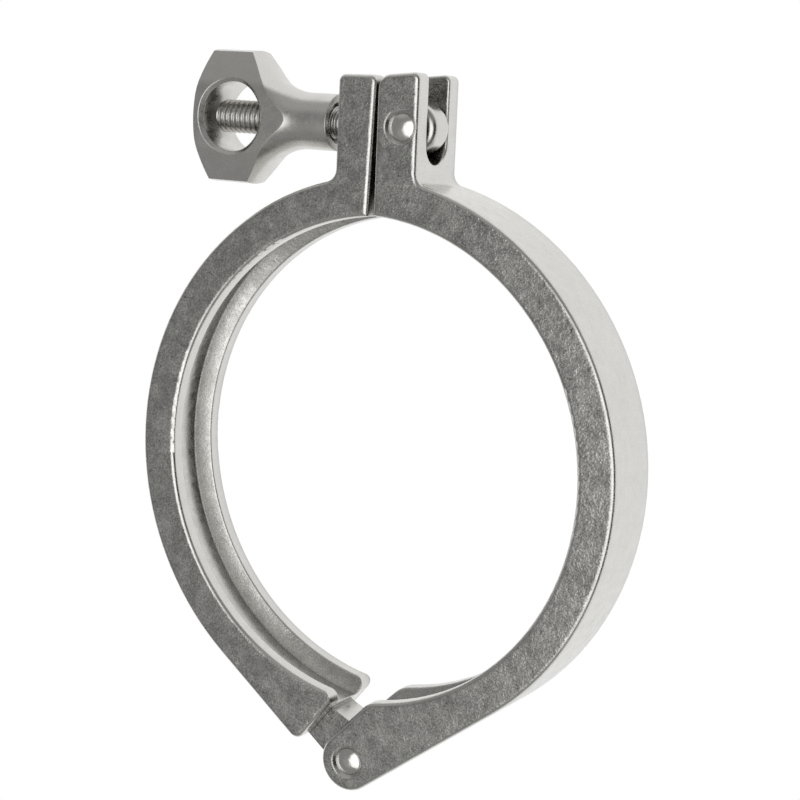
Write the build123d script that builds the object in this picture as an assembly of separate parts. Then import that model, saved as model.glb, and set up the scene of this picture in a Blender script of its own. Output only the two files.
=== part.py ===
"""Hinged V-band clamp for a 4 inch sanitary ferrule joint, lying on its back face.

Origin at the middle of the right half's bore, +Z along the pipe, +Y towards the ears, mm.
Two cast channel halves share a riveted hinge at the bottom. A swing bolt is riveted in the
right half's forked ear, drops into the left half's slotted ear and carries a wing nut.
"""
import os
from math import acos, atan2, cos, degrees, hypot, radians, sin, sqrt, tan

from build123d import *

# ---- ring -------------------------------------------------------------------------------
BORE_R = 56.8           # bore of the two lips
GROOVE_DEPTH = 4.0      # lips to groove floor, which clears the ferrule's 59.5 rim
WEB = 5.2               # metal outside the groove
WIDTH = 19.5            # along the pipe
GROOVE_FLOOR = 9.2      # floor width
FLANK_DEG = 20.0        # slope of each ferrule and of each flank
EDGE_R = 1.1            # cast rounding along every face outline
LIP_R = 0.6             # rounding where a flank meets its lip

# ---- hinge ------------------------------------------------------------------------------
HINGE_X = 2.1
HINGE_DROP = 5.9        # pin axis outside the ring's outer radius
SHUT_PAST_DEG = 5.0     # empty and shut, the left half is turned this far past its grip
PIN_R = 2.6             # both rivets
RUNNING = 0.05          # radial clearance of a part that turns on a rivet
EAR_END_R = 7.0         # round end of the two clevis ears
KNUCKLE_R = 6.5         # swell that carries the ears out of the ring
KNUCKLE_DEG = -80.5
TONGUE_R = 6.2          # round of the tongue about the pin
NECK_DROP = 2.6         # the tongue is this much slimmer on its bore side where it meets the body
TONGUE_T = 9.0
SIDE_GAP = 0.2          # tongue to each clevis ear
HEEL_R = 7.3            # the left half's outer side aims at this circle round the pin
END_GAP = 5.5           # left body's end face to the round of the clevis ears
ROOT_GAP = 6.0          # clevis slot's root beyond the round of its ears

# ---- ears -------------------------------------------------------------------------------
FACE_X = 3.0            # right ear's mating face
EAR_GAP = 0.7           # between the mating faces at the bolt
GAP_LEAN_DEG = -1.8     # left mating face, from upright: the gap widens towards the ring
RIGHT_EAR_T = 10.7
LEFT_EAR_T = 9.6
PIN_FROM_FACE = 6.3     # bolt pin behind the right mating face
BOLT_RISE = 10.9        # bolt axis outside the ring's outer radius
EAR_ABOVE = 11.4        # ear top above the bolt axis
RIGHT_EAR_EXTRA = 0.5   # the right ear stands this much higher over the pin
TOP_LEAN_DEG = 5.0      # right ear's top rises away from its mating face
FOOT_R = 3.0
CORNER_R = 1.6
SLOT_W = 9.4
SLOT_FLOOR_DROP = 8.1   # both slots' floors below the bolt axis
RIGHT_SLOT_CORNER_R = 4.6   # nearly a full round
LEFT_SLOT_CORNER_R = 2.0
SLOT_EDGE_R = 0.7

# ---- rivets -----------------------------------------------------------------------------
DIMPLE_DEPTH = 0.9
DIMPLE_R = 4.0
HEAD_R = 3.2
HEAD_RISE = 0.85

# ---- swing bolt and nut -----------------------------------------------------------------
BOLT_R = 3.97           # 5/16 in over the thread crests
BOLT_LENGTH = 54.8      # eye centre to tip
BOLT_TILT_DEG = 1.1     # the free end hangs this far above square, as the nut is slack
TIP = 1.0               # chamfer of the tip
EYE_R = 5.8
EYE_T = 7.6
EYE_ROUND = 2.0
NUT_GAP = 5.0           # stem end to the left ear
NUT_CLEARANCE = 0.08    # thread stand-in, radial
STEM_R = 6.6
STEM_LENGTH = 15.1      # to where the cone would meet the stem
FLARE_R = 16.0
FLARE_DEG = 50.0        # cone from the nut's axis
RIM_R = 15.7
RIM_LENGTH = 11.0
DOME_RISE = 3.9         # end dome over the rim
HUB_T = 14.0            # thickness about the window
HUB_HALF = 6.5          # half-width of the flat middle of each face
WING_T = 7.4            # thickness at the rim
WING_BLEND_R = 12.0     # from the middle of each face to its thinning wings
WINDOW_R = 8.2
WINDOW_FROM_RIM = 3.7   # window axis from the start of the rim
WINDOW_EDGE = 0.9
MOUTH = 1.0             # chamfer of the nut's bore

GROOVE_R = BORE_R + GROOVE_DEPTH
OUTER_R = GROOVE_R + WEB
HINGE = Vector(HINGE_X, -(OUTER_R + HINGE_DROP), 0)
BOLT = Vector(FACE_X + PIN_FROM_FACE, OUTER_R + BOLT_RISE, 0)
EAR_TOP = BOLT.Y + EAR_ABOVE
LEFT_FACE_X = FACE_X - EAR_GAP
LEFT_OUTER_X = LEFT_FACE_X - LEFT_EAR_T
NUT_END_X = LEFT_OUTER_X - NUT_GAP
RIM_X = STEM_LENGTH + (RIM_R - STEM_R) / tan(radians(FLARE_DEG))     # rim and window, from the stem's end
WINDOW_X = RIM_X + WINDOW_FROM_RIM
FAR = 3 * OUTER_R


def turned(point, centre, deg):
    """The point turned about the centre, in the ring's plane."""
    a = radians(deg)
    dx, dy = point.X - centre.X, point.Y - centre.Y
    return Vector(centre.X + dx * cos(a) - dy * sin(a), centre.Y + dx * sin(a) + dy * cos(a), 0)


LEFT_CENTRE = turned(Vector(0, 0, 0), HINGE, -SHUT_PAST_DEG)


def tangent_side(big, big_r, small, small_r, side):
    """Unit normal of the line that touches both circles; side +1 or -1 picks which line."""
    dx, dy = small.X - big.X, small.Y - big.Y
    spread = acos((big_r - small_r) / hypot(dx, dy))
    a = atan2(dy, dx) + side * spread
    return Vector(cos(a), sin(a), 0)


def upright_cut(x, y, lean_deg, side):
    """A large face on one side of a nearly upright line through x, y."""
    box = Pos(side * FAR / 2, 0) * Rectangle(FAR, 2 * FAR)
    return Pos(x, y) * Rot(0, 0, lean_deg) * box


def rounded(face, radius, picked):
    """Fillet the outline's corners nearest to the picked points."""
    corners = [min(face.vertices(), key=lambda v: (v.center() - p).length) for p in picked]
    return fillet(corners, radius)


def half_blank(face):
    """Extrude an outline to the clamp's width and round its two rims."""
    blank = extrude(face, WIDTH / 2, both=True)
    rims = blank.edges().filter_by(lambda e: abs(abs(e.center().Z) - WIDTH / 2) < 1e-4)
    return fillet(rims, EDGE_R)


def groove_half_width(radius):
    return GROOVE_FLOOR / 2 + (GROOVE_R - radius) * tan(radians(FLANK_DEG))


def groove_cutter():
    """Ring of the groove's section, opened well inside the lips."""
    inner = BORE_R - 2 * LIP_R - EDGE_R
    w0, w1 = GROOVE_FLOOR / 2, groove_half_width(inner)
    section = Polyline((inner, 0, -w1), (GROOVE_R, 0, -w0), (GROOVE_R, 0, w0), (inner, 0, w1), close=True)
    return revolve(make_face(section), Axis.Z)


def ear_slot(x0, x1, corner_r):
    """Slot across an ear, open at the top, its floor rounded into the walls."""
    floor_y = BOLT.Y - SLOT_FLOOR_DROP
    height = EAR_TOP + FOOT_R - floor_y
    slot = Pos((x0 + x1) / 2, floor_y + height / 2, 0) * Box(x1 - x0, height, SLOT_W)
    corners = slot.edges().filter_by(Axis.X).filter_by(lambda e: e.center().Y < floor_y + corner_r)
    return fillet(corners, corner_r)


def round_slot(solid, face_x):
    """Round the slot's two upright edges and floor where they meet an ear's face."""
    def on_mouth(edge):
        spots = [edge.position_at(t) for t in (0.1, 0.5, 0.9)]
        return all(abs(p.X - face_x) < 0.01 and abs(p.Z) < SLOT_W / 2 + 0.01 for p in spots)
    return fillet(solid.edges().filter_by(on_mouth), SLOT_EDGE_R)


def round_lips(solid, centre):
    """Round the corner between each groove flank and its lip."""
    def on_lip(edge):
        spots = [edge.position_at(t) - centre for t in (0.1, 0.5, 0.9)]
        return edge.length > BORE_R and all(
            abs(hypot(p.X, p.Y) - BORE_R) < 0.01 and abs(abs(p.Z) - groove_half_width(BORE_R)) < 0.05
            for p in spots)
    return fillet(solid.edges().filter_by(on_lip), LIP_R)


def dimple(at):
    """Shallow countersinks for one rivet, at both faces."""
    cone = Pos(0, 0, WIDTH / 2 - DIMPLE_DEPTH / 2) * Cone(HEAD_R, DIMPLE_R, DIMPLE_DEPTH)
    return Pos(at.X, at.Y, 0) * (cone + mirror(cone, Plane.XY))


def right_half():
    normal = tangent_side(Vector(0, 0, 0), OUTER_R, HINGE, EAR_END_R, 1)
    knuckle = turned(Vector(BORE_R + KNUCKLE_R, 0, 0), Vector(0, 0, 0), KNUCKLE_DEG)
    mating = upright_cut(FACE_X, BOLT.Y, 0, -1)
    ring = Circle(OUTER_R) - mating
    ring -= Rot(0, 0, KNUCKLE_DEG) * Pos(0, -FAR / 2) * Rectangle(2 * FAR, FAR)
    on_ring, on_ear = normal * OUTER_R, HINGE + normal * EAR_END_R
    skirt = make_face(Polyline(on_ring, on_ear, HINGE, knuckle, close=True))
    link = make_hull((Pos(HINGE.X, HINGE.Y) * Circle(EAR_END_R)).edges()
                     + (Pos(knuckle.X, knuckle.Y) * Circle(KNUCKLE_R)).edges())
    outer_x = FACE_X + RIGHT_EAR_T
    top = EAR_TOP + RIGHT_EAR_EXTRA
    rise = tan(radians(TOP_LEAN_DEG))
    inner_top = Vector(FACE_X, top - PIN_FROM_FACE * rise, 0)
    outer_top = Vector(outer_x, inner_top.Y + RIGHT_EAR_T * rise, 0)
    ear = make_face(Polyline((FACE_X, BORE_R), inner_top, outer_top, (outer_x, BORE_R), close=True))
    outline = ring + skirt + link + ear - Circle(BORE_R)
    foot = Vector(outer_x, sqrt(OUTER_R ** 2 - outer_x ** 2), 0)
    outline = rounded(outline, FOOT_R, [foot])
    outline = rounded(outline, 2 * CORNER_R, [inner_top])
    outline = rounded(outline, CORNER_R, [outer_top])
    body = half_blank(outline) - groove_cutter()
    body = round_lips(body, Vector(0, 0, 0))
    body -= ear_slot(FACE_X - RIGHT_EAR_T, outer_x + RIGHT_EAR_T, RIGHT_SLOT_CORNER_R)
    body = round_slot(body, outer_x)
    body -= Pos(HINGE.X, HINGE.Y, 0) * Cylinder(EAR_END_R + ROOT_GAP, TONGUE_T + 2 * SIDE_GAP)
    for at in (HINGE, BOLT):
        body -= Pos(at.X, at.Y, 0) * Cylinder(PIN_R, 2 * WIDTH)
        body -= dimple(at)
    return body


def left_half():
    c = LEFT_CENTRE
    normal = tangent_side(c, OUTER_R, HINGE, HEEL_R, -1)
    along = Vector(normal.Y, -normal.X, 0)              # from the pin towards the body
    end = EAR_END_R + END_GAP
    heel = HINGE + along * end + normal * HEEL_R
    ring = Pos(c.X, c.Y) * Circle(OUTER_R)
    ring += make_face(Polyline(c + normal * OUTER_R, heel, HINGE + along * end, c, close=True))
    ear = Pos(LEFT_OUTER_X + LEFT_EAR_T, (BORE_R + EAR_TOP) / 2) * Rectangle(2 * LEFT_EAR_T, EAR_TOP - BORE_R)
    outline = ring + ear - Pos(c.X, c.Y) * Circle(BORE_R)
    outline -= upright_cut(LEFT_FACE_X, BOLT.Y, GAP_LEAN_DEG, 1) & Pos(0, FAR / 2) * Rectangle(2 * FAR, FAR)
    lower = Pos(HINGE.X, HINGE.Y) * Rot(0, 0, degrees(atan2(along.Y, along.X))) * Pos(end - FAR / 2, 0)
    outline -= lower * Rectangle(FAR, FAR)
    outline -= Pos(LEFT_FACE_X + FAR / 2, -FAR / 2) * Rectangle(FAR, FAR)
    outline = max(outline.faces(), key=lambda f: f.area)
    foot = Vector(LEFT_OUTER_X, c.Y + sqrt(OUTER_R ** 2 - (LEFT_OUTER_X - c.X) ** 2), 0)
    inner_top = Vector(LEFT_FACE_X + EAR_ABOVE * tan(radians(-GAP_LEAN_DEG)), EAR_TOP, 0)
    outline = rounded(outline, FOOT_R, [foot])
    outline = rounded(outline, CORNER_R, [Vector(LEFT_OUTER_X, EAR_TOP, 0)])
    outline = rounded(outline, CORNER_R, [inner_top])
    outline = rounded(outline, 1.5 * CORNER_R, [heel])
    body = half_blank(outline) - Pos(c.X, c.Y, 0) * groove_cutter()
    body = round_lips(body, c)
    body -= ear_slot(LEFT_OUTER_X - FOOT_R, LEFT_FACE_X + FOOT_R, LEFT_SLOT_CORNER_R)
    body = round_slot(body, LEFT_OUTER_X)

    # the tongue is drawn along x from the pin, its bore side at -y, and then laid along the heel's line
    reach = end + CORNER_R + EDGE_R
    tongue = Circle(TONGUE_R) + make_face(Polyline(
        (0, -TONGUE_R), (end, NECK_DROP - TONGUE_R), (reach, NECK_DROP - TONGUE_R), (reach, TONGUE_R),
        (0, TONGUE_R), close=True))
    tongue = extrude(tongue, TONGUE_T / 2, both=True)
    place = Pos(HINGE.X, HINGE.Y, 0) * Rot(0, 0, degrees(atan2(along.Y, along.X)))
    body += place * tongue
    return body - Pos(HINGE.X, HINGE.Y, 0) * Cylinder(PIN_R + RUNNING, WIDTH)


def rivet(at):
    """Shank with a peened dome in each dimple."""
    seat = WIDTH / 2 - DIMPLE_DEPTH
    dome_r = (HEAD_R ** 2 + HEAD_RISE ** 2) / (2 * HEAD_RISE)
    dome = Pos(0, 0, seat + HEAD_RISE - dome_r) * Sphere(dome_r)
    dome &= Pos(0, 0, seat + HEAD_RISE) * Box(4 * HEAD_R, 4 * HEAD_R, 2 * HEAD_RISE)
    pin = Cylinder(PIN_R, 2 * seat) + dome + mirror(dome, Plane.XY)
    return Pos(at.X, at.Y, 0) * pin


def swing_bolt():
    eye = Cylinder(EYE_R, EYE_T)
    eye = fillet(eye.edges().filter_by(GeomType.CIRCLE), EYE_ROUND)
    shank = Pos(-BOLT_LENGTH / 2, 0, 0) * Rot(0, 90, 0) * Cylinder(BOLT_R, BOLT_LENGTH)
    shank = chamfer(shank.edges().sort_by(Axis.X)[0], TIP)
    bolt = eye + shank - Cylinder(PIN_R + RUNNING, 2 * EYE_T)
    return Pos(BOLT.X, BOLT.Y, 0) * Rot(0, 0, -BOLT_TILT_DEG) * bolt


def nut_faces():
    """Slab, seen along the nut's axis: flat about the window, thinner towards the rim on each wing."""
    thinning = (HUB_T - WING_T) / 2 / (RIM_R - HUB_HALF)
    y, z = HUB_HALF, HUB_T / 2
    out = 1.1 * RIM_R
    edge = z - thinning * (out - y)
    upper = [(-out, edge), (-y, z), (y, z), (out, edge)]
    lower = [(-y, -z) for y, z in upper]
    face = make_face(Polyline(upper + lower, close=True))
    face = rounded(face, WING_BLEND_R, [Vector(i * y, j * z, 0) for i in (-1, 1) for j in (-1, 1)])
    return Rot(0, 90, 0) * Rot(0, 0, 90) * extrude(face, 10 * RIM_R, both=True)


def window_rim(edge):
    """True for an edge where the window's wall meets one of the nut's two faces."""
    spots = [edge.position_at(t) for t in (0.1, 0.5, 0.9)]
    return all(abs(hypot(p.X - WINDOW_X, p.Y) - WINDOW_R) < 1e-3 and abs(p.Z) > HUB_T / 4 for p in spots)


def wing_nut():
    """Turned stem, flare and head, cast with two faces that thin towards the wings, and a cross window."""
    rim_end = RIM_X + RIM_LENGTH
    dome_r = (RIM_R ** 2 + DOME_RISE ** 2) / (2 * DOME_RISE)
    side = Polyline((0, 0), (0, STEM_R), (STEM_LENGTH, STEM_R), (RIM_X, RIM_R), (rim_end, RIM_R))
    crown = RadiusArc((rim_end, RIM_R), (rim_end + DOME_RISE, 0), dome_r)
    profile = make_face(side + crown + Line((rim_end + DOME_RISE, 0), (0, 0)))
    profile = rounded(profile, FLARE_R, [Vector(STEM_LENGTH, STEM_R, 0)])
    nut = revolve(profile, Axis.X) & nut_faces()
    nut -= Pos(WINDOW_X, 0, 0) * Cylinder(WINDOW_R, 2 * HUB_T)
    nut = chamfer(nut.edges().filter_by(window_rim), WINDOW_EDGE)
    bore = BOLT_R + NUT_CLEARANCE
    reach = BOLT_LENGTH - (BOLT.X - NUT_END_X)          # the bolt's tip, here inside the window
    nut -= Pos(reach / 2, 0, 0) * Rot(0, 90, 0) * Cylinder(bore, reach)
    nut -= Rot(0, 90, 0) * Cone(bore + MOUTH, bore, MOUTH, align=(Align.CENTER, Align.CENTER, Align.MIN))
    on_bolt = Pos(NUT_END_X - BOLT.X, 0, 0) * Rot(0, 0, 180) * nut
    return Pos(BOLT.X, BOLT.Y, 0) * Rot(0, 0, -BOLT_TILT_DEG) * on_bolt


def main():
    nodes = {
        "right_half": right_half(),
        "left_half": left_half(),
        "hinge_pin": rivet(HINGE),
        "bolt_pin": rivet(BOLT),
        "swing_bolt": swing_bolt(),
        "wing_nut": wing_nut(),
    }
    os.makedirs("parts", exist_ok=True)
    for name, shape in nodes.items():
        box = shape.bounding_box()
        print(name, len(shape.solids()), "solid", round(shape.volume / 1000, 2), "cm3",
              [round(v, 2) for v in (*box.min, *box.max)])
        export_step(shape, f"parts/{name}.step")


main()
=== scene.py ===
"""A sanitary hinged clamp, lying shut on a white floor under a broad overhead light."""

import math

import bmesh
import bpy
from mathutils import Euler, Matrix, Vector


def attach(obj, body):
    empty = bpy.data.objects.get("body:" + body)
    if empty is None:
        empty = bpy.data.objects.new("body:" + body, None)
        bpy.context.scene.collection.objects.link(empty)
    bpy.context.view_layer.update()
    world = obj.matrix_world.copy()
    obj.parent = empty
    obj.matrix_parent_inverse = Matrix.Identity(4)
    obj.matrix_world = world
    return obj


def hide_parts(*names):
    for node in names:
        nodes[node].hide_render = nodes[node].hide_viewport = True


MM = 0.001

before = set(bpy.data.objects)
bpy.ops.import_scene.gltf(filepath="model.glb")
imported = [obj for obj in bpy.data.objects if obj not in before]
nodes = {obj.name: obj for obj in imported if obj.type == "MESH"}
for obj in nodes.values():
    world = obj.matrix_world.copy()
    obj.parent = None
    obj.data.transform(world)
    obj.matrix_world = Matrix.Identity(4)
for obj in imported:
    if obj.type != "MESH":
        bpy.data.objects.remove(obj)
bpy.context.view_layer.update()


# ---------------------------------------------------------------- node helpers

def linear(hex_colour):
    """An sRGB hex colour as the linear RGBA that a socket takes."""
    parts = [int(hex_colour[i:i + 2], 16) / 255 for i in (1, 3, 5)]
    return [c / 12.92 if c <= 0.04045 else ((c + 0.055) / 1.055) ** 2.4 for c in parts] + [1.0]


def add(tree, kind, links=(), sockets=None, **settings):
    """Adds one node. Links are (this node's input, the other node, its output)."""
    node = tree.nodes.new(kind)
    for name, value in settings.items():
        setattr(node, name, value)
    for name, value in (sockets or {}).items():
        node.inputs[name].default_value = value
    for socket, other, output in links:
        tree.links.new(other.outputs[output], node.inputs[socket])
    return node


def spots(tree, place, size_mm, detail, low, high, to_low, to_high):
    """Noise of the given grain size, its values between low and high stretched over the given range."""
    noise = add(tree, "ShaderNodeTexNoise", [("Vector", place, "Object")],
                {"Scale": 1 / (size_mm * MM), "Detail": detail, "Roughness": 0.6})
    return add(tree, "ShaderNodeMapRange", [("Value", noise, "Fac")],
               {"From Min": low, "From Max": high, "To Min": to_low, "To Max": to_high})


# ---------------------------------------------------------------- materials

CLOUD_MM = 5        # handling and scale leave patches of this size
GRAIN_MM = 0.42     # the blast's own marks are about 0.1 mm, drawn coarser so that they show
PIT_MM = 1.3
SHEEN_MM = 2.2      # patches of rougher and smoother metal
SHEEN = 0.06        # how far they go either way
CORNER_MM = 3.5     # painted shade darkens inner corners within this
POLISH = 0.12       # share of the marks that stays where a surface doesn't face front or back
# the dark that the colour runs towards, both in its random patches, grains and pits and in the painted shade of
# inner corners
MARKS_AND_PAINTED_SHADE = "#0B0A09"


def steel(name, colour, roughness, cloud, mottle, pit, pebble, grit, edge_mm, painted_corner_shade):
    """Stainless steel. cloud, mottle and pit darken it by a share in patches, grains and pits.
    pebble and grit are (size, height) of its bumps in mm; edge_mm softens the look of sharp edges;
    the last argument sets how dark the painted shade in its inner corners gets."""
    material = bpy.data.materials.new(name)
    material.use_nodes = True
    tree = material.node_tree
    shader = tree.nodes["Principled BSDF"]
    shader.inputs["Metallic"].default_value = 1.0
    place = add(tree, "ShaderNodeTexCoord")

    clouds = spots(tree, place, CLOUD_MM, 4, 0.38, 0.62, 1 - cloud, 1)
    grains = spots(tree, place, GRAIN_MM, 3, 0.36, 0.60, 1 - mottle, 1)
    pits = spots(tree, place, PIT_MM, 2, 0.27, 0.35, 1 - pit, 1)
    marks = add(tree, "ShaderNodeMath", [(0, grains, 0), (1, pits, 0)], operation="MULTIPLY")
    away = add(tree, "ShaderNodeSeparateXYZ", [(0, place, "Normal")])
    away = add(tree, "ShaderNodeMath", [(0, away, 2)], operation="ABSOLUTE")
    flat = add(tree, "ShaderNodeMapRange", [("Value", away, 0)],
               {"From Min": 0.90, "From Max": 0.99, "To Min": POLISH})
    marks = add(tree, "ShaderNodeMix", [("Factor", flat, 0), ("B", marks, 0)], {"A": 1.0})
    shade = add(tree, "ShaderNodeMix", [("Factor", flat, 0), ("B", clouds, 0)], {"A": 1.0})
    shade = add(tree, "ShaderNodeMath", [(0, shade, 0), (1, marks, 0)], operation="MULTIPLY")
    # painted shade: ambient occlusion darkens the colour towards the dark near inner corners, where shade falls
    corner = add(tree, "ShaderNodeAmbientOcclusion", sockets={"Distance": CORNER_MM * MM}, samples=8)
    depth = add(tree, "ShaderNodeMapRange", [("Value", corner, "AO")],
                {"From Min": 0.2, "From Max": 0.8, "To Min": 1 - painted_corner_shade})
    shade = add(tree, "ShaderNodeMath", [(0, shade, 0), (1, depth, 0)], operation="MULTIPLY")
    tint = add(tree, "ShaderNodeMix", [("Factor", shade, 0)], {"A": linear(MARKS_AND_PAINTED_SHADE), "B": linear(colour)},
               data_type="RGBA")
    tree.links.new(tint.outputs["Result"], shader.inputs["Base Color"])

    rough = spots(tree, place, SHEEN_MM, 3, 0.3, 0.7, roughness - SHEEN, roughness + SHEEN)
    tree.links.new(rough.outputs[0], shader.inputs["Roughness"])

    normal = add(tree, "ShaderNodeBevel", sockets={"Radius": edge_mm * MM}, samples=6)
    for size_mm, height_mm in (pebble, grit):
        noise = add(tree, "ShaderNodeTexNoise", [("Vector", place, "Object")],
                    {"Scale": 1 / (size_mm * MM), "Detail": 2})
        normal = add(tree, "ShaderNodeBump",
                     [("Height", noise, "Fac"), ("Normal", normal, "Normal"), ("Strength", flat, 0)],
                     {"Distance": height_mm * MM})
    tree.links.new(normal.outputs["Normal"], shader.inputs["Normal"])
    return material


# investment-cast stainless, blasted: a grey, pitted front with soft darker patches, smoother, paler sides, and
# painted shade in its inner corners
cast_steel = steel("blasted_cast_stainless", "#D8D7D3", roughness=0.26, cloud=0.30, mottle=0.46, pit=0.42,
                   pebble=(1.6, 0.10), grit=(0.40, 0.03), edge_mm=0.50, painted_corner_shade=0.60)
# machined stainless, tumbled: an even satin with broad, blurred highlights, and painted shade in its inner
# corners
turned_steel = steel("tumbled_turned_stainless", "#D4D2CE", roughness=0.27, cloud=0.08, mottle=0.10, pit=0.0,
                     pebble=(2.4, 0.03), grit=(0.4, 0.006), edge_mm=0.3, painted_corner_shade=0.5)
# peened stainless rivets: small domes, bright enough to mirror the light as a spot, with painted shade in their
# inner corners
rivet_steel = steel("bright_rivet_stainless", "#DEDCD8", roughness=0.18, cloud=0.05, mottle=0.08, pit=0.0,
                    pebble=(1.1, 0.06), grit=(0.4, 0.004), edge_mm=0.2, painted_corner_shade=0.5)


def dress(thing, material):
    thing.data.materials.clear()
    thing.data.materials.append(material)


for node in ("right_half", "left_half"):
    dress(nodes[node], cast_steel)
for node in ("swing_bolt", "wing_nut"):
    dress(nodes[node], turned_steel)
for node in ("hinge_pin", "bolt_pin"):
    dress(nodes[node], rivet_steel)


# ---------------------------------------------------------------- the bolt's thread

BOLT_PIN = Vector((9.3, 76.9, 0))
BOLT_TILT = math.radians(1.1)       # free end upwards
CREST_R = 3.94
ROOT_R = 3.22
PITCH = 1.411
SHANK_FROM = 5.0                    # from the eye's centre, inside the eye
THREAD_FROM = 8.0
THREAD_TO = 54.8
RUN_OUT = 1.5 * PITCH
CREST_FLAT = 0.12                   # share of the pitch, like the flanks'
FLANKS = 0.70
TIP = 1.0                           # chamfer
SECTORS = 72
STEPS = 12                          # along the axis, per pitch


def thread_radius(along, angle):
    """The thread's surface, with flat crests, rounded roots, a run-out at its start and a chamfered tip."""
    turn = (along / PITCH - angle / (2 * math.pi)) % 1.0
    flank = min(1.0, max(0.0, (abs(turn - 0.5) * 2 - CREST_FLAT) / FLANKS))
    start = min(1.0, max(0.0, (along - THREAD_FROM) / RUN_OUT))
    depth = (CREST_R - ROOT_R) * math.sin(flank * math.pi / 2) * start
    chamfer = THREAD_TO - along + CREST_R - TIP
    return min(CREST_R - depth, chamfer)


def threaded_bolt():
    """The CAD bolt's eye with a threaded shank in place of its plain one."""
    source = nodes["swing_bolt"]
    to_world = source.matrix_world
    to_local = to_world.inverted()
    plain_from = BOLT_PIN.x - THREAD_FROM * math.cos(BOLT_TILT)
    shape = bmesh.new()
    shape.from_mesh(source.data)
    plain = [v for v in shape.verts if (to_world @ v.co).x / MM < plain_from]
    bmesh.ops.delete(shape, geom=plain, context="VERTS")

    direction = Vector((-math.cos(BOLT_TILT), math.sin(BOLT_TILT), 0))
    upward = Vector((math.sin(BOLT_TILT), math.cos(BOLT_TILT), 0))
    length = THREAD_TO - SHANK_FROM
    rings = round(length / PITCH * STEPS)
    rows = []
    for i in range(rings + 1):
        along = SHANK_FROM + length * i / rings
        row = []
        for j in range(SECTORS):
            angle = 2 * math.pi * j / SECTORS
            out = upward * math.cos(angle) + Vector((0, 0, 1)) * math.sin(angle)
            point = BOLT_PIN + direction * along + out * thread_radius(along, angle)
            row.append(shape.verts.new(to_local @ (point * MM)))
        rows.append(row)
    for first, second in zip(rows, rows[1:]):
        for j in range(SECTORS):
            k = (j + 1) % SECTORS
            shape.faces.new((first[j], first[k], second[k], second[j])).smooth = True
    shape.faces.new(rows[-1])
    shape.faces.new(rows[0][::-1])
    bmesh.ops.recalc_face_normals(shape, faces=shape.faces)
    mesh = bpy.data.meshes.new("swing_bolt_threaded")
    shape.to_mesh(mesh)
    shape.free()
    bolt = bpy.data.objects.new("swing_bolt_threaded", mesh)
    bolt.matrix_world = to_world
    bpy.context.scene.collection.objects.link(bolt)
    return bolt


# ---------------------------------------------------------------- the left half's corner by the hinge

HINGE = Vector((2.1, -71.9, 0))
PAST_GRIP = math.radians(5.0)           # the left half is shut this far past its grip
BORE_R = 56.8
OUTER_R = 66.0
HEEL_R = 7.3                            # the half's outer side aims at this circle round the hinge
END = 12.5                              # from the hinge to the half's end face
TOE_R = 2.3
TOE_SIDES = 14
CUT_HALF_WIDTH = 11.7                   # past both faces
SHARP = math.radians(30)                # faces that meet at more than this make an edge


def toe_cutter():
    """The corner outside a round of TOE_R that touches the end face and the bore."""
    half_centre = HINGE - Matrix.Rotation(-PAST_GRIP, 3, "Z") @ HINGE
    span = half_centre - HINGE
    side = math.atan2(span.y, span.x) + math.acos((HEEL_R - OUTER_R) / span.length)
    outward = Vector((math.cos(side), math.sin(side), 0))
    along = Vector((outward.y, -outward.x, 0))          # from the hinge towards the end face

    near = HINGE + along * (END + TOE_R)
    away = near - half_centre
    lean = away.dot(outward)
    reach = lean - math.sqrt(lean ** 2 - away.length_squared + (BORE_R + TOE_R) ** 2)
    centre = near - outward * reach
    at_end = centre - along * TOE_R
    to_bore = (half_centre - centre).normalized()
    at_bore = centre + to_bore * TOE_R
    first = math.atan2(-along.y, -along.x)
    last = math.atan2(to_bore.y, to_bore.x)
    last -= 2 * math.pi * round((last - first) / (2 * math.pi))
    angles = [first + (last - first) * i / TOE_SIDES for i in range(TOE_SIDES + 1)]
    arc = [centre + TOE_R * Vector((math.cos(a), math.sin(a), 0)) for a in angles]
    tip = centre + ((at_end + at_bore) / 2 - centre).normalized() * 4 * TOE_R
    outline = arc + [at_bore + to_bore * TOE_R, tip, at_end - along * TOE_R]
    count = len(outline)
    corners = [(point + Vector((0, 0, z))) * MM for z in (-CUT_HALF_WIDTH, CUT_HALF_WIDTH) for point in outline]
    sides = [(i, (i + 1) % count, (i + 1) % count + count, i + count) for i in range(count)]
    mesh = bpy.data.meshes.new("toe_cutter")
    mesh.from_pydata(corners, [], sides + [tuple(range(count))[::-1], tuple(range(count, 2 * count))])
    shape = bmesh.new()
    shape.from_mesh(mesh)
    bmesh.ops.recalc_face_normals(shape, faces=shape.faces)
    shape.to_mesh(mesh)
    shape.free()
    return bpy.data.objects.new("toe_cutter", mesh)


def settle(thing, kind, **settings):
    """Puts one modifier on a mesh and keeps what it makes."""
    step = thing.modifiers.new(kind.lower(), kind)
    for name, value in settings.items():
        setattr(step, name, value)
    bpy.context.view_layer.update()
    made = thing.evaluated_get(bpy.context.evaluated_depsgraph_get())
    thing.data = bpy.data.meshes.new_from_object(made)
    thing.modifiers.clear()


def rounded_left_half():
    """The CAD half less the toe's corner, with its flat faces shaded flat again after the cut."""
    source = nodes["left_half"]
    half = bpy.data.objects.new("left_half_rounded", source.data.copy())
    half.matrix_world = source.matrix_world
    cutter = toe_cutter()
    for thing in (half, cutter):
        bpy.context.scene.collection.objects.link(thing)
    settle(half, "BOOLEAN", operation="DIFFERENCE", solver="EXACT", object=cutter)
    if "custom_normal" in half.data.attributes:
        half.data.attributes.remove(half.data.attributes["custom_normal"])
    half.data.set_sharp_from_angle(angle=SHARP)
    settle(half, "WEIGHTED_NORMAL", weight=100, keep_sharp=True)
    bpy.data.objects.remove(cutter)
    return half


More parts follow.
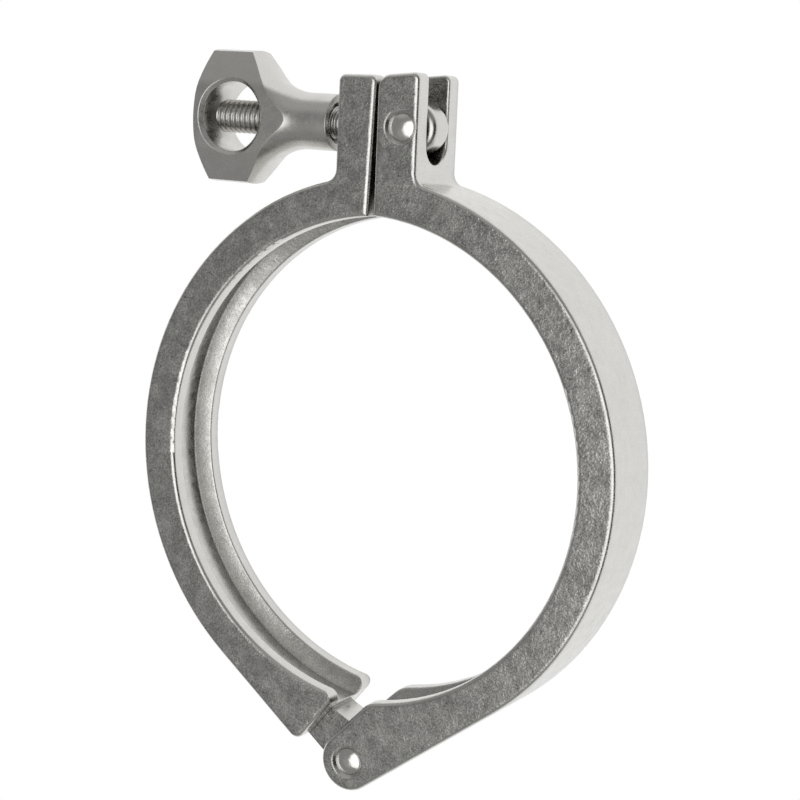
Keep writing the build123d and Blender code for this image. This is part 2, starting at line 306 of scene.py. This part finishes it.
left = rounded_left_half()
dress(left, cast_steel)
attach(left, "hinged_half")
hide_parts("left_half")

bolt = threaded_bolt()
dress(bolt, turned_steel)
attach(bolt, "bolt")
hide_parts("swing_bolt")


# ---------------------------------------------------------------- camera

CAMERA_PLACE = Vector((213.25, 75.70, 368.39))
CAMERA_TURN = (-6.897, 29.581, 2.837)   # degrees about x, y and z
SENSOR_MM = 36
FOCAL_MM = 82.53

camera_data = bpy.data.cameras.new("camera")
camera_data.sensor_width = SENSOR_MM
camera_data.lens = FOCAL_MM
camera_data.clip_start = 10 * MM
camera = bpy.data.objects.new("camera", camera_data)
bpy.context.scene.collection.objects.link(camera)
turn = Euler([math.radians(angle) for angle in CAMERA_TURN])
camera.matrix_world = Matrix.LocRotScale(CAMERA_PLACE * MM, turn, None)
bpy.context.scene.camera = camera


# ---------------------------------------------------------------- floor and light

FLOOR_Z = -9.75 * MM
FLOOR_HALF = 3.0


def white_floor():
    """A floor that the eye and the metal both see as plain white."""
    material = bpy.data.materials.new("white_floor")
    material.use_nodes = True
    tree = material.node_tree
    tree.nodes.remove(tree.nodes["Principled BSDF"])
    ways = add(tree, "ShaderNodeLightPath")
    seen = add(tree, "ShaderNodeMath", [(0, ways, "Is Camera Ray"), (1, ways, "Is Glossy Ray")],
               operation="MAXIMUM")
    seen = add(tree, "ShaderNodeMath", [(0, seen, 0), (1, ways, "Is Transmission Ray")], operation="MAXIMUM")
    matt = add(tree, "ShaderNodeBsdfDiffuse", sockets={"Color": linear("#F4F4F4")})
    glow = add(tree, "ShaderNodeEmission")
    mix = add(tree, "ShaderNodeMixShader", [(0, seen, 0), (1, matt, 0), (2, glow, 0)])
    tree.links.new(mix.outputs[0], tree.nodes["Material Output"].inputs["Surface"])
    mesh = bpy.data.meshes.new("floor")
    corners = [(x * FLOOR_HALF, y * FLOOR_HALF, FLOOR_Z) for x, y in ((-1, -1), (1, -1), (1, 1), (-1, 1))]
    mesh.from_pydata(corners, [], [(0, 1, 2, 3)])
    mesh.materials.append(material)
    return bpy.data.objects.new("floor", mesh)


floor = white_floor()
bpy.context.scene.collection.objects.link(floor)

# what the metal sees above the floor: (direction, half angle in degrees, soft edge, brightness over the room's)
ROOM = 0.275
PANELS = (
    ((0.27, -0.12, 0.955), 27, 8, 1.35),    # overhead light
    ((-0.36, -0.36, 0.86), 8, 18, 0.09),    # its glow on the ceiling
    ((1.00, -0.10, 0.25), 26, 14, -0.25),   # dark wall behind the right half
    ((-0.35, 0.90, 0.25), 24, 20, 0.16),    # pale wall beyond the ears
)


def studio():
    world = bpy.data.worlds.new("studio")
    world.use_nodes = True
    sky = world.node_tree
    look = add(sky, "ShaderNodeTexCoord")
    level = add(sky, "ShaderNodeValue")
    level.outputs[0].default_value = ROOM
    for direction, half_angle, soft, strength in PANELS:
        aim = add(sky, "ShaderNodeVectorMath", [(0, look, "Generated")], {1: Vector(direction).normalized()},
                  operation="DOT_PRODUCT")
        panel = add(sky, "ShaderNodeMapRange", [("Value", aim, "Value")],
                    {"From Min": math.cos(math.radians(half_angle + soft)),
                     "From Max": math.cos(math.radians(half_angle)), "To Max": strength},
                    interpolation_type="SMOOTHSTEP")
        level = add(sky, "ShaderNodeMath", [(0, level, 0), (1, panel, 0)], operation="ADD")
    ways = add(sky, "ShaderNodeLightPath")
    shown = add(sky, "ShaderNodeMix", [("Factor", ways, "Is Camera Ray"), ("A", level, 0)], {"B": 1.0})
    background = sky.nodes["Background"]
    background.inputs["Color"].default_value = linear("#FFFFFF")
    sky.links.new(shown.outputs[0], background.inputs["Strength"])
    return world


bpy.context.scene.world = studio()
bpy.context.scene.view_settings.view_transform = "Standard"
